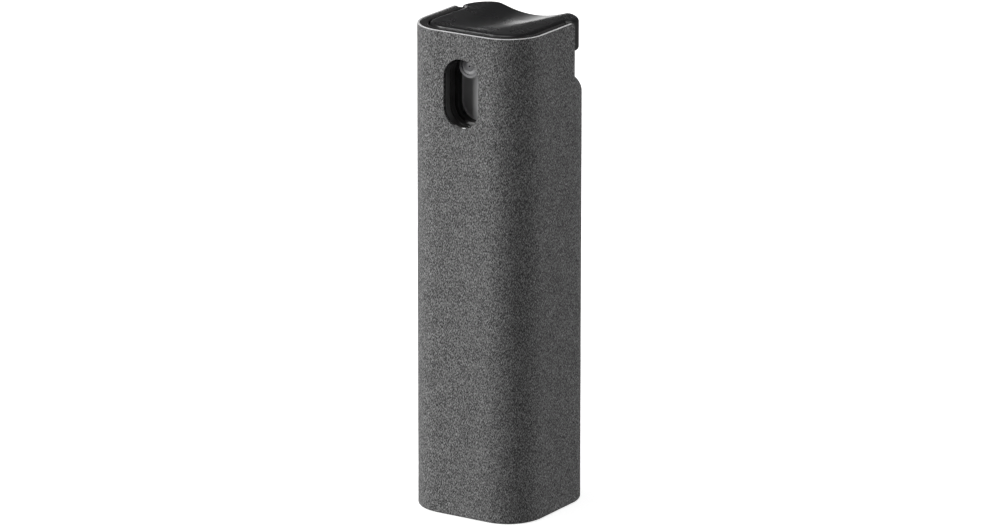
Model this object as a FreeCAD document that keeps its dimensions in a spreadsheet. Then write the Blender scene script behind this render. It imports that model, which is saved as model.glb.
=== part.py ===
"""Pocket lens-cleaning spray.

A rounded-square case covered in microfibre holds a mist-spray bottle that lifts out.
The press head carries the nozzle behind a slot in the front of the case, and its rear
skirt travels in a step cut into the back of the case.

Frame: +Z up, origin in the middle of the base, X across, -Y towards the nozzle.
Millimetres throughout.  Heights hang from the rim of the case; the bottle fills what
is left down to the case floor.
"""
import FreeCAD, Part
import os
import re
import Sketcher
from FreeCAD import Placement, Rotation, Vector

doc = FreeCAD.newDocument("LensSpray")
sheet = doc.addObject("Spreadsheet::Sheet", "dims")

# ---------------------------------------------------------------- driving dimensions
DIMENSIONS = {
    "case": (
        ("case_width", 24.6, "outside, left to right"),
        ("case_depth", 24.9, "outside, front to back"),
        ("case_height", 88.0, "base to rim"),
        ("corner_radius", 7.1, "outside upright corners"),
        ("wrap_thick", 0.45, "microfibre sleeve"),
        ("wrap_lift", 0.15, "sleeve hem above the surface the case stands on"),
        ("hem_round", 0.4, "rounding of the sleeve's lower edge"),
        ("shell_wall", 1.5, "case shell"),
        ("shell_floor", 1.2, "closed end of the shell"),
        ("rim_drop", 0.12, "shell rim below the sleeve's cut edge"),
        ("pad_thick", 0.6, "microfibre patch under the base"),
        ("pad_inset", 0.1, "patch edge inside the shell's outline"),
    ),
    "slot and step": (
        ("slot_width", 6.95, "spray slot"),
        ("slot_height", 12.2, "spray slot, round ends included"),
        ("slot_drop", 10.8, "middle of the slot below the rim"),
        ("slot_cut_back", 0.12, "sleeve cut back round the slot"),
        ("step_depth", 7.35, "step plane in from the rear face"),
        ("step_drop", 10.36, "ledge of the step below the rim"),
        ("step_round", 3.0, "rounding of the ledge's outer edge, on the sleeve"),
        ("rim_round", 1.1, "rounding of the side walls' rear top corners"),
    ),
    "press head": (
        ("slide_gap", 0.2, "between the case and what slides in it"),
        ("head_inset", 0.75, "rear block inside the case outline"),
        ("step_gap", 0.3, "rear block behind the step plane"),
        ("ledge_flat", 0.1, "flat left between the rear block's face and its rounded corner"),
        ("head_corner", 5.8, "rear block's upright corners"),
        ("head_proud", 0.15, "front top edge above the rim"),
        ("head_fall", 0.2, "rear edge below the front edge"),
        ("head_wall", 1.5, "skirt"),
        ("head_top_thick", 2.9, "top plate at its front edge"),
        ("skirt_drop", 5.55, "skirt's lower edge below the rim"),
        ("dish_radius", 18.6, "thumb dish across the head"),
        ("dish_depth", 1.45, "thumb dish at the rear edge"),
        ("dish_start", 3.0, "front of the dish behind the head's front edge"),
        ("edge_round", 0.6, "upper edges of the head"),
        ("apron_depth", 4.7, "front apron, front to back"),
        ("apron_lap", 0.8, "apron below the slot"),
        ("recess_depth", 1.7, "outer recess in the apron"),
        ("recess_step", 0.28, "inner recess inside the outer one"),
        ("recess_inner_depth", 1.8, "inner recess"),
        ("grip_wall", 1.2, "collar under the top that grips the actuator"),
        ("grip_depth", 2.6, "that collar, downwards"),
        ("press_travel", 4.5, "stroke of the head and pump"),
        ("press_clearance", 0.5, "apron over the closure when pressed"),
    ),
    "actuator and nozzle": (
        ("nozzle_drop", 6.4, "spray axis below the rim"),
        ("nozzle_setback", 2.7, "nozzle face behind the front of the case"),
        ("arm_radius", 2.05, "tube from the actuator hub to the nozzle"),
        ("arm_gap", 0.2, "arm in the head"),
        ("hub_radius", 3.6, "actuator hub"),
        ("hub_clearance", 5.2, "hub over the closure at rest"),
        ("insert_radius", 1.55, "nozzle insert"),
        ("insert_length", 2.4, "nozzle insert"),
        ("insert_sink", 0.12, "insert face behind the arm's end"),
        ("orifice_radius", 0.25, "spray hole"),
        ("swirl_radius", 0.9, "swirl chamber behind the spray hole"),
        ("swirl_wall", 0.6, "front wall of the insert"),
        ("channel_radius", 0.8, "liquid way up the stem and the hub"),
        ("cross_channel_radius", 0.6, "liquid way along the arm"),
    ),
    "pump": (
        ("closure_plate", 1.2, "top of the screw closure"),
        ("closure_wall", 1.3, "skirt of the screw closure"),
        ("closure_bore", 2.5, "hole for the stem"),
        ("turret_flange", 0.8, "turret flange"),
        ("turret_depth", 4.0, "turret hub below its flange"),
        ("seal_thick", 0.7, "stem seal"),
        ("seal_radius", 3.0, "stem seal, outside"),
        ("housing_flange", 1.0, "pump housing flange"),
        ("flange_inset", 0.2, "edge of turret, housing and gasket inside the neck's outer face"),
        ("gasket_thick", 0.8, "neck gasket"),
        ("bore_radius", 3.5, "pump chamber"),
        ("chamber_wall", 1.0, "pump housing"),
        ("chamber_depth", 21.0, "pump chamber below the housing flange"),
        ("cage_radius", 1.4, "ball cage"),
        ("cage_height", 2.05, "ball cage"),
        ("cage_lip", 0.4, "lip that keeps the ball in its cage"),
        ("lip_radius", 0.95, "hole in that lip"),
        ("ball_radius", 1.1, "inlet ball"),
        ("seat_radius", 0.7, "hole under the ball"),
        ("seat_thick", 1.0, "ball seat"),
        ("spigot_radius", 2.5, "lower end of the housing"),
        ("socket_depth", 5.0, "dip tube in the housing"),
        ("tube_radius", 1.3, "dip tube, outside"),
        ("tube_wall", 0.5, "dip tube"),
        ("tube_lift", 1.5, "dip tube above the bottle's floor"),
        ("stem_radius", 1.9, "pump stem"),
        ("stem_flange_radius", 2.6, "stem flange that stops on the turret"),
        ("stem_flange", 0.9, "stem flange"),
        ("stem_counterbore", 1.7, "poppet rod in the stem"),
        ("stem_rise", 5.5, "stem in the actuator hub"),
        ("rod_radius", 1.4, "poppet rod"),
        ("piston_length", 2.6, "piston"),
        ("piston_waist", 0.35, "groove between the piston's two lips"),
        ("piston_lip", 0.7, "each piston lip"),
        ("piston_lag", 0.6, "play of the piston on the poppet rod"),
        ("poppet_radius", 2.8, "poppet flange"),
        ("poppet_flange", 1.0, "poppet flange"),
        ("poppet_nose_radius", 1.6, "nose that centres the spring"),
        ("poppet_nose", 3.0, "that nose, downwards"),
        ("spring_radius", 2.35, "return spring, middle of the wire"),
        ("spring_wire", 0.27, "wire radius"),
        ("spring_turns", 8.0, "return spring"),
        ("run_gap", 0.05, "running fits, each side"),
        ("seat_gap", 0.03, "pieces pressed or seated together, each side"),
    ),
    "bottle and collar": (
        ("rest_gap", 0.15, "bottle over the shell floor"),
        ("bottle_wall", 1.0, "bottle"),
        ("bottle_round", 1.2, "bottle's lower edges"),
        ("shoulder_round", 2.2, "bottle's upper edges"),
        ("neck_radius", 7.5, "bottle neck, outside"),
        ("neck_wall", 1.5, "bottle neck"),
        ("neck_height", 6.5, "bottle neck"),
        ("neck_gap", 0.1, "closure on the neck"),
        ("collar_lift", 0.4, "closure and collar over the bottle's shoulder"),
        ("deck_drop", 0.7, "collar deck below the step's ledge"),
        ("deck_thick", 1.5, "collar deck"),
        ("collar_bore", 7.3, "hollow between closure and deck"),
        ("deck_hole", 4.2, "hole in the deck for the actuator hub"),
        ("deck_slot", 2.5, "half width of the deck's slot for the arm"),
        ("apron_gap", 0.25, "apron in front of the collar"),
    ),
}
ALIASES = set()
row = 0
for group, entries in DIMENSIONS.items():
    row += 1
    sheet.set(f"A{row}", group)
    for alias, number, note in entries:
        row += 1
        sheet.set(f"A{row}", note)
        sheet.set(f"B{row}", str(number))
        sheet.setAlias(f"B{row}", alias)
        ALIASES.add(alias)
doc.recompute()


# ---------------------------------------------------------------- helpers
def formula(text):
    """The expression for a size written with the sheet's aliases."""
    def full_name(word):
        return "dims." + word.group() if word.group() in ALIASES else word.group()
    return re.sub(r"[a-z]\w*", full_name, str(text))


def size(text):
    """The present value of such an expression."""
    return float(sheet.evalExpression(formula(text)))


def bind(thing, **properties):
    """Bind properties of an object to the sheet; a double underscore stands for a dot."""
    for name, text in properties.items():
        thing.setExpression(name.replace("__", "."), formula(text))
    return thing


def new_body(label):
    body = doc.addObject("PartDesign::Body", label)
    body.Label = label
    return body


def new_sketch(body, role, offset="0"):
    """A sketch on one of the body's origin planes, moved along the plane's normal."""
    sketch = body.newObject("Sketcher::SketchObject", body.Name + "_sketch")
    plane = [item for item in body.Origin.OriginFeatures if item.Role == role][0]
    sketch.AttachmentSupport = (plane, [""])
    sketch.MapMode = "FlatFace"
    bind(sketch, AttachmentOffset__Base__z=offset)
    return sketch


def place(sketch, kind, geometry, point, text):
    """Hold one coordinate of a point at a distance from the sketch's origin."""
    number = size(text)
    if number < 0:
        rule = Sketcher.Constraint(kind, geometry, point, -1, 1, -number)
        text = f"-({text})"
    else:
        rule = Sketcher.Constraint(kind, -1, 1, geometry, point, number)
    index = sketch.addConstraint(rule)
    sketch.setExpression(f"Constraints[{index}]", formula(text))


def hold_radius(sketch, geometry, text):
    index = sketch.addConstraint(Sketcher.Constraint("Radius", geometry, size(text)))
    sketch.setExpression(f"Constraints[{index}]", formula(text))


def draw_polygon(sketch, corners):
    """A closed outline of straight lines through (x, y) corners."""
    points = [Vector(size(x), size(y), 0) for x, y in corners]
    last = len(points) - 1
    for start, end in zip(points, points[1:] + points[:1]):
        sketch.addGeometry(Part.LineSegment(start, end), False)
    for line, (x, y) in enumerate(corners):
        following = 0 if line == last else line + 1
        sketch.addConstraint(Sketcher.Constraint("Coincident", line, 2, following, 1))
        place(sketch, "DistanceX", line, 1, x)
        place(sketch, "DistanceY", line, 1, y)


def draw_block(sketch, corners):
    """A closed outline of level and upright lines; a corner is (x, y) or (x, y, rounding)."""
    points = [Vector(size(corner[0]), size(corner[1]), 0) for corner in corners]
    rounds = [size(corner[2]) if len(corner) > 2 else 0.0 for corner in corners]
    count = len(points)
    lines = []
    for i in range(count):
        run = points[(i + 1) % count] - points[i]
        step = Vector(run).normalize()
        start = points[i] + step * rounds[i]
        end = points[(i + 1) % count] - step * rounds[(i + 1) % count]
        level = abs(run.x) > abs(run.y)
        line = sketch.addGeometry(Part.LineSegment(start, end), False)
        sketch.addConstraint(Sketcher.Constraint("Horizontal" if level else "Vertical", line))
        place(sketch, "DistanceY" if level else "DistanceX", line, 1, corners[i][1 if level else 0])
        lines.append((line, start, end, step))
    for i in range(count):
        before, after = lines[i - 1], lines[i]
        if not rounds[i]:
            sketch.addConstraint(Sketcher.Constraint("Coincident", before[0], 2, after[0], 1))
            continue
        middle = before[2] + after[3] * rounds[i]
        bulge = (points[i] - middle).normalize() * rounds[i]
        curve = Part.Arc(before[2], middle + bulge, after[1])
        arc = sketch.addGeometry(curve, False)
        turns_left = before[3].cross(after[3]).z > 0
        first, second = (1, 2) if turns_left else (2, 1)
        sketch.addConstraint(Sketcher.Constraint("Tangent", before[0], 2, arc, first))
        sketch.addConstraint(Sketcher.Constraint("Tangent", arc, second, after[0], 1))
        hold_radius(sketch, arc, corners[i][2])


def draw_circle(sketch, radius, height="0"):
    """A circle on the sketch's upright axis."""
    circle = sketch.addGeometry(Part.Circle(Vector(0, size(height), 0), Vector(0, 0, 1), size(radius)), False)
    hold_radius(sketch, circle, radius)
    place(sketch, "DistanceX", circle, 3, "0")
    place(sketch, "DistanceY", circle, 3, height)


def draw_stadium(sketch, half_width, half_height, middle):
    """An upright slot outline with round ends."""
    radius, height = size(half_width), size(middle)
    straight = size(half_height) - radius
    across, up = Vector(radius, 0, 0), Vector(0, straight, 0)
    centre = Vector(0, height, 0)
    top = Part.Arc(centre + up + across, centre + up + Vector(0, radius, 0), centre + up - across)
    foot = Part.Arc(centre - up - across, centre - up - Vector(0, radius, 0), centre - up + across)
    sketch.addGeometry([top, Part.LineSegment(centre + up - across, centre - up - across),
                        foot, Part.LineSegment(centre - up + across, centre + up + across)], False)
    for first, second in ((0, 1), (1, 2), (2, 3), (3, 0)):
        sketch.addConstraint(Sketcher.Constraint("Tangent", first, 2, second, 1))
    sketch.addConstraint(Sketcher.Constraint("Vertical", 1))
    hold_radius(sketch, 0, half_width)
    rise = f"({half_height}) - ({half_width})"
    place(sketch, "DistanceX", 0, 3, "0")
    place(sketch, "DistanceY", 0, 3, f"({middle}) + {rise}")
    place(sketch, "DistanceY", 2, 3, f"({middle}) - ({rise})")


def add_pad(body, sketch, length):
    pad = body.newObject("PartDesign::Pad", body.Name + "_pad")
    pad.Profile = sketch
    return bind(pad, Length=length)


def cut_pocket(body, sketch, length, reverse=False, both_ways=False):
    """Cut along the sketch's normal, or against it when not reversed."""
    pocket = body.newObject("PartDesign::Pocket", body.Name + "_pocket")
    pocket.Profile = sketch
    pocket.Reversed = reverse
    pocket.Midplane = both_ways
    return bind(pocket, Length=length)


def round_edges(body, radius, wanted):
    """Round the edges of the body's last feature that the test accepts."""
    doc.recompute()
    base = body.Tip
    names = [f"Edge{i}" for i, edge in enumerate(base.Shape.Edges, 1) if wanted(edge)]
    fillet = body.newObject("PartDesign::Fillet", body.Name + "_round")
    fillet.Base = (base, names)
    return bind(fillet, Radius=radius)


def level_edge(height):
    """A test for edges that lie level at a height."""
    number = size(height)

    def test(edge):
        box = edge.BoundBox
        return abs(box.ZMin - number) < 1e-4 and abs(box.ZMax - number) < 1e-4
    return test


def turned(label, *profile):
    """A piece turned about Z from a closed outline of (radius, height) corners."""
    body = new_body(label)
    sketch = new_sketch(body, "XZ_Plane")
    draw_polygon(sketch, profile)
    turn = body.newObject("PartDesign::Revolution", label + "_turn")
    turn.Profile = sketch
    turn.ReferenceAxis = (sketch, ["V_Axis"])
    turn.Angle = 360
    return body


def case_outline(inset, rear=None):
    """The case's rounded-square plan, drawn in by an inset; a rear plane cuts it off square."""
    x = f"case_width / 2 - ({inset})"
    y = f"case_depth / 2 - ({inset})"
    r = f"corner_radius - ({inset})"
    front = ((f"-({x})", f"-({y})", r), (x, f"-({y})", r))
    if rear:
        return front + ((x, rear), (f"-({x})", rear))
    return front + ((x, y, r), (f"-({x})", y, r))


def pad_outline(body, corners, low, high):
    sketch = new_sketch(body, "XY_Plane", low)
    draw_block(sketch, corners)
    return add_pad(body, sketch, f"({high}) - ({low})")


def cut_outline(body, corners, low, high):
    sketch = new_sketch(body, "XY_Plane", low)
    draw_block(sketch, corners)
    return cut_pocket(body, sketch, f"({high}) - ({low})", reverse=True)


def cut_round(body, radius, low, high):
    sketch = new_sketch(body, "XY_Plane", low)
    draw_circle(sketch, radius)
    return cut_pocket(body, sketch, f"({high}) - ({low})", reverse=True)


# ---------------------------------------------------------------- levels, from the rim down
RIM = "case_height"
SLOT_Z = f"({RIM} - slot_drop)"
NOZZLE_Z = f"({RIM} - nozzle_drop)"
STEP_Z = f"({RIM} - step_drop)"
SKIRT_Z = f"({RIM} - skirt_drop)"
HEAD_FRONT_Z = f"({RIM} + head_proud)"
HEAD_UNDER = f"({HEAD_FRONT_Z} - head_top_thick)"
APRON_Z = f"({SLOT_Z} - slot_height / 2 - apron_lap)"
CLOSURE_TOP = f"({APRON_Z} - press_travel - press_clearance)"
PLATE_Z = f"({CLOSURE_TOP} - closure_plate)"
TURRET_Z = f"({PLATE_Z} - turret_flange)"
FLANGE_Z = f"({TURRET_Z} - housing_flange)"
NECK_TOP = f"({FLANGE_Z} - gasket_thick)"
SHOULDER_Z = f"({NECK_TOP} - neck_height)"
BOTTLE_Z = "(pad_thick + shell_floor + rest_gap)"
HUB_Z = f"({CLOSURE_TOP} + hub_clearance)"
STEM_TOP = f"({HUB_Z} + stem_rise)"
TURRET_FOOT = f"({TURRET_Z} - turret_depth)"
STEM_FOOT = f"({TURRET_FOOT} - 2 * run_gap - stem_flange)"
POPPET_Z = f"({STEM_FOOT} - piston_lag - run_gap - piston_length - run_gap)"
SPRING_TOP = f"({POPPET_Z} - poppet_flange)"
CHAMBER_FLOOR = f"({FLANGE_Z} - chamber_depth)"
CAGE_TOP = f"({CHAMBER_FLOOR} - cage_lip)"
SEAT_Z = f"({CAGE_TOP} - cage_height)"
SOCKET_Z = f"({SEAT_Z} - seat_thick)"
DECK_TOP = f"({STEP_Z} - deck_drop)"

# ---------------------------------------------------------------- plan distances
INNER = "(wrap_thick + shell_wall)"
SLIDER = f"({INNER} + slide_gap)"
FRONT = "(case_depth / 2)"
STEP_Y = f"({FRONT} - step_depth)"
HEAD_FRONT = f"({FRONT} - {SLIDER})"
HEAD_REAR = f"({FRONT} - head_inset)"
APRON_BACK = f"({HEAD_FRONT} - apron_depth)"
NOZZLE_FACE = f"({FRONT} - nozzle_setback)"
FLANGE = "(neck_radius - flange_inset)"


# ---------------------------------------------------------------- case
def case_block(label, inset, low, high):
    """The case's solid form, drawn in by an inset: all of it up to the ledge, the front up to a height."""
    body = new_body(label)
    ledge = f"({STEP_Z} - ({inset}))"
    pad_outline(body, case_outline(inset), low, ledge)
    round_edges(body, f"step_round - ({inset})", level_edge(ledge))
    pad_outline(body, case_outline(inset, STEP_Y), f"{ledge} - step_round", high)
    return body


def rear_top_edge(height):
    """A test for the edge across the top, where the step begins."""
    number, plane = size(height), size(STEP_Y)

    def test(edge):
        box = edge.BoundBox
        return abs(box.ZMin - number) < 1e-4 and abs(box.YMin - plane) < 1e-4
    return test


def cut_slot(body, margin):
    """The spray slot through the front wall."""
    sketch = new_sketch(body, "XZ_Plane")
    draw_stadium(sketch, f"slot_width / 2 + {margin}", f"slot_height / 2 + {margin}", SLOT_Z)
    return cut_pocket(body, sketch, f"{FRONT} + 1", reverse=True)


def make_microfibre_wrap():
    """The sleeve: it follows the case up to the rim and over the ledge's rounded edge."""
    outside = case_block("wrap_outside", "0", "wrap_lift", RIM)
    round_edges(outside, "rim_round", rear_top_edge(RIM))
    round_edges(outside, "hem_round", level_edge("wrap_lift"))
    cut_slot(outside, "slot_cut_back")
    inside = case_block("wrap_inside", "wrap_thick", "0", f"{RIM} + 1")
    core = new_body("wrap_core")
    pad_outline(core, case_outline(INNER), "0", f"{RIM} + 1")
    return cut("microfibre_wrap", outside, inside, core)


def make_case_shell():
    top = f"{RIM} - rim_drop"
    body = case_block("case_shell", "wrap_thick", "pad_thick", top)
    round_edges(body, "rim_round", rear_top_edge(top))
    cut_outline(body, case_outline(INNER), "pad_thick + shell_floor", f"{RIM} + 1")
    cut_slot(body, "0")
    return body


def make_base_pad():
    body = new_body("base_pad")
    pad_outline(body, case_outline("wrap_thick + pad_inset"), "0", "pad_thick")
    return body


# ---------------------------------------------------------------- bottle and collar
def make_bottle():
    body = new_body("bottle")
    pad_outline(body, case_outline(SLIDER), BOTTLE_Z, SHOULDER_Z)
    round_edges(body, "bottle_round", level_edge(BOTTLE_Z))
    round_edges(body, "shoulder_round", level_edge(SHOULDER_Z))
    neck = new_sketch(body, "XY_Plane", SHOULDER_Z)
    draw_circle(neck, "neck_radius")
    add_pad(body, neck, "neck_height")
    cut_outline(body, case_outline(f"{SLIDER} + bottle_wall"), f"{BOTTLE_Z} + bottle_wall",
                f"{SHOULDER_Z} - bottle_wall - shoulder_round / 2")
    cut_round(body, "neck_radius - neck_wall", f"{SHOULDER_Z} - bottle_wall - shoulder_round", f"{NECK_TOP} + 1")
    return body


def make_collar_cover():
    """Rounded-square collar over the closure; its deck fills the case under the head."""
    body = new_body("collar_cover")
    foot = f"{SHOULDER_Z} + collar_lift"
    pad_outline(body, case_outline(SLIDER), foot, DECK_TOP)
    cut_round(body, "neck_radius + neck_gap + closure_wall + seat_gap", foot, CLOSURE_TOP)
    cut_round(body, "collar_bore", CLOSURE_TOP, f"{DECK_TOP} - deck_thick")
    cut_round(body, "deck_hole", CLOSURE_TOP, f"{DECK_TOP} + 1")
    front = f"-({APRON_BACK} - apron_gap)"
    side = "case_width / 2"
    cut_outline(body, ((f"-({side})", f"-{FRONT}"), (side, f"-{FRONT}"), (side, front), (f"-({side})", front)),
                CLOSURE_TOP, f"{DECK_TOP} + 1")
    cut_outline(body, (("-deck_slot", f"-{FRONT}"), ("deck_slot", f"-{FRONT}"),
                       ("deck_slot", "0"), ("-deck_slot", "0")),
                f"{DECK_TOP} - deck_thick", f"{DECK_TOP} + 1")
    return body


# ---------------------------------------------------------------- pump
def make_screw_closure():
    inner = "neck_radius + neck_gap"
    outer = f"{inner} + closure_wall"
    foot = f"{SHOULDER_Z} + collar_lift"
    return turned("screw_closure", (inner, foot), (outer, foot), (outer, CLOSURE_TOP),
                  ("closure_bore", CLOSURE_TOP), ("closure_bore", PLATE_Z), (inner, PLATE_Z))


def make_neck_gasket():
    inner = "bore_radius + chamber_wall + seat_gap"
    return turned("neck_gasket", (inner, NECK_TOP), (FLANGE, NECK_TOP),
                  (FLANGE, FLANGE_Z), (inner, FLANGE_Z))


def make_pump_housing():
    outer = "bore_radius + chamber_wall"
    socket_foot = f"{SOCKET_Z} - socket_depth"
    return turned("pump_housing",
                  (FLANGE, FLANGE_Z), (FLANGE, TURRET_Z), ("bore_radius", TURRET_Z),
                  ("bore_radius", CHAMBER_FLOOR), ("lip_radius", CHAMBER_FLOOR), ("lip_radius", CAGE_TOP),
                  ("cage_radius", CAGE_TOP), ("cage_radius", SEAT_Z), ("seat_radius", SEAT_Z),
                  ("seat_radius", SOCKET_Z), ("tube_radius + seat_gap", SOCKET_Z),
                  ("tube_radius + seat_gap", socket_foot), ("spigot_radius", socket_foot),
                  ("spigot_radius", SEAT_Z), (outer, f"{CAGE_TOP} - chamber_wall"), (outer, FLANGE_Z))


def make_pump_turret():
    bore = "stem_radius + run_gap"
    hub = "bore_radius - seat_gap"
    pocket = f"{PLATE_Z} - seal_thick"
    seal = "seal_radius + seat_gap"
    return turned("pump_turret", (bore, TURRET_FOOT), (hub, TURRET_FOOT), (hub, TURRET_Z),
                  (FLANGE, TURRET_Z), (FLANGE, PLATE_Z), (seal, PLATE_Z),
                  (seal, pocket), (bore, pocket))


def make_stem_seal():
    bore = "stem_radius + run_gap"
    foot = f"{PLATE_Z} - seal_thick"
    return turned("stem_seal", (bore, foot), ("seal_radius", foot),
                  ("seal_radius", PLATE_Z), (bore, PLATE_Z))


def make_dip_tube():
    foot = f"{BOTTLE_Z} + bottle_wall + tube_lift"
    inner = "tube_radius - tube_wall"
    return turned("dip_tube", (inner, foot), ("tube_radius", foot),
                  ("tube_radius", SOCKET_Z), (inner, SOCKET_Z))


def make_check_ball():
    """The inlet ball, a hair above the edge of its seat."""
    ball = doc.addObject("Part::Sphere", "check_ball")
    ball.Label = "check_ball"
    return bind(ball, Radius="ball_radius",
                Placement__Base__z=f"{SEAT_Z} + seat_gap + sqrt(ball_radius ^ 2 - seat_radius ^ 2)")


def make_return_spring():
    """A wire coil from the chamber floor to the poppet flange."""
    low = f"({CHAMBER_FLOOR} + spring_wire + seat_gap)"
    rise = f"({SPRING_TOP} - spring_wire - seat_gap - {low})"
    body = new_body("return_spring")
    wire = new_sketch(body, "XZ_Plane")
    circle = wire.addGeometry(Part.Circle(Vector(size("spring_radius"), size(low), 0), Vector(0, 0, 1),
                                          size("spring_wire")), False)
    hold_radius(wire, circle, "spring_wire")
    place(wire, "DistanceX", circle, 3, "spring_radius")
    place(wire, "DistanceY", circle, 3, low)
    coil = body.newObject("PartDesign::AdditiveHelix", "return_spring_coil")
    coil.Profile = wire
    coil.ReferenceAxis = (wire, ["V_Axis"])
    coil.Mode = "height-turns-angle"
    bind(coil, Height=rise, Turns="spring_turns")
    return body


def make_pump_stem():
    bore = "rod_radius + seat_gap"
    shelf = f"{STEM_FOOT} + stem_counterbore"
    return turned("pump_stem", (bore, STEM_FOOT), ("stem_flange_radius", STEM_FOOT),
                  ("stem_flange_radius", f"{STEM_FOOT} + stem_flange"),
                  ("stem_radius", f"{STEM_FOOT} + stem_flange"), ("stem_radius", STEM_TOP),
                  ("channel_radius", STEM_TOP), ("channel_radius", shelf), (bore, shelf))


def make_piston():
    """Two sealing lips with a groove between them, free to move a little on the poppet rod."""
    inner, outer = "rod_radius + run_gap", "bore_radius - run_gap"
    foot = f"({POPPET_Z} + run_gap)"
    top = f"({foot} + piston_length)"
    waist = f"{outer} - piston_waist"
    return turned("piston", (inner, foot), (outer, foot), (outer, f"{foot} + piston_lip"),
                  (waist, f"{foot} + piston_lip"), (waist, f"{top} - piston_lip"),
                  (outer, f"{top} - piston_lip"), (outer, top), (inner, top))


def make_poppet():
    rod_top = f"{STEM_FOOT} + stem_counterbore"
    nose = f"{SPRING_TOP} - poppet_nose"
    return turned("poppet", ("0", nose), ("poppet_nose_radius", nose),
                  ("poppet_nose_radius", SPRING_TOP),
                  ("poppet_radius", SPRING_TOP), ("poppet_radius", POPPET_Z), ("rod_radius", POPPET_Z),
                  ("rod_radius", rod_top), ("0", rod_top))


# ---------------------------------------------------------------- actuator and nozzle
def cross_cylinder(name, radius, near, far):
    """A cylinder along the spray axis between two distances in front of the pump's axis."""
    cylinder = doc.addObject("Part::Cylinder", name)
    cylinder.Placement = Placement(Vector(), Rotation(Vector(1, 0, 0), 90))
    return bind(cylinder, Radius=radius, Height=f"({far}) - ({near})",
                Placement__Base__y=f"-({near})", Placement__Base__z=NOZZLE_Z)


def upright_cylinder(name, radius, low, high):
    cylinder = doc.addObject("Part::Cylinder", name)
    return bind(cylinder, Radius=radius, Height=f"({high}) - ({low})", Placement__Base__z=low)


def fused(name, *pieces):
    joined = doc.addObject("Part::MultiFuse", name)
    joined.Shapes = list(pieces)
    joined.Refine = True
    return joined


def cut(name, base, *tools):
    """The base less its tools."""
    result = doc.addObject("Part::Cut", name)
    result.Base = base
    result.Tool = tools[0] if len(tools) == 1 else fused(name + "_tools", *tools)
    result.Refine = True
    result.Label = name
    return result


def make_spray_actuator():
    """Hub on the stem, with an arm that carries the nozzle insert through the head."""
    hub = upright_cylinder("actuator_hub", "hub_radius", HUB_Z, HEAD_UNDER)
    arm = cross_cylinder("actuator_arm", "arm_radius", "0", NOZZLE_FACE)
    pocket_back = f"{NOZZLE_FACE} - insert_sink - insert_length"
    channel_top = f"{NOZZLE_Z} + channel_radius"
    return cut("spray_actuator", fused("actuator_outside", hub, arm),
               upright_cylinder("stem_socket", "stem_radius + seat_gap", f"{HUB_Z} - 1", STEM_TOP),
               upright_cylinder("rising_channel", "channel_radius", f"{STEM_TOP} - 1", channel_top),
               cross_cylinder("cross_channel", "cross_channel_radius", "0", f"{pocket_back} + 1"),
               cross_cylinder("insert_pocket", "insert_radius + seat_gap", pocket_back, f"{NOZZLE_FACE} + 1"))


def make_nozzle_insert():
    """A cup with the spray hole in its front wall and a swirl chamber behind it."""
    face = f"{NOZZLE_FACE} - insert_sink"
    back = f"{face} - insert_length"
    return cut("nozzle_insert", cross_cylinder("insert_outside", "insert_radius", back, face),
               cross_cylinder("swirl_chamber", "swirl_radius", f"{back} - 1", f"{face} - swirl_wall"),
               cross_cylinder("spray_hole", "orifice_radius", f"{back} - 1", f"{face} + 1"))


# ---------------------------------------------------------------- press head
def head_plan(inset):
    """The head's plan: narrow inside the case, wide where it fills the step."""
    narrow = f"case_width / 2 - {SLIDER} - ({inset})"
    wide = f"case_width / 2 - head_inset - ({inset})"
    front = f"-({HEAD_FRONT} - ({inset}))"
    rear = f"{HEAD_REAR} - ({inset})"
    ledge = f"{STEP_Y} + step_gap + ({inset})"
    front_round = f"corner_radius - {SLIDER} - ({inset})"
    rear_round = f"min(head_corner - ({inset}); {rear} - ({ledge}) - ledge_flat)"
    return ((f"-({narrow})", front, front_round), (narrow, front, front_round), (narrow, ledge),
            (wide, ledge), (wide, rear, rear_round), (f"-({wide})", rear, rear_round),
            (f"-({wide})", ledge), (f"-({narrow})", ledge))


def on_outline(body):
    """A test for level edges along the outline of the body's top."""
    doc.recompute()
    skin = body.Tip.Shape.Shells[0]
    floor = size(HEAD_UNDER)

    def test(edge):
        middle = edge.valueAt((edge.FirstParameter + edge.LastParameter) / 2)
        below = Part.Vertex(middle - Vector(0, 0, size("edge_round") / 2))
        return edge.BoundBox.ZMin > floor and below.distToShape(skin)[0] < 1e-3
    return test


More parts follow.
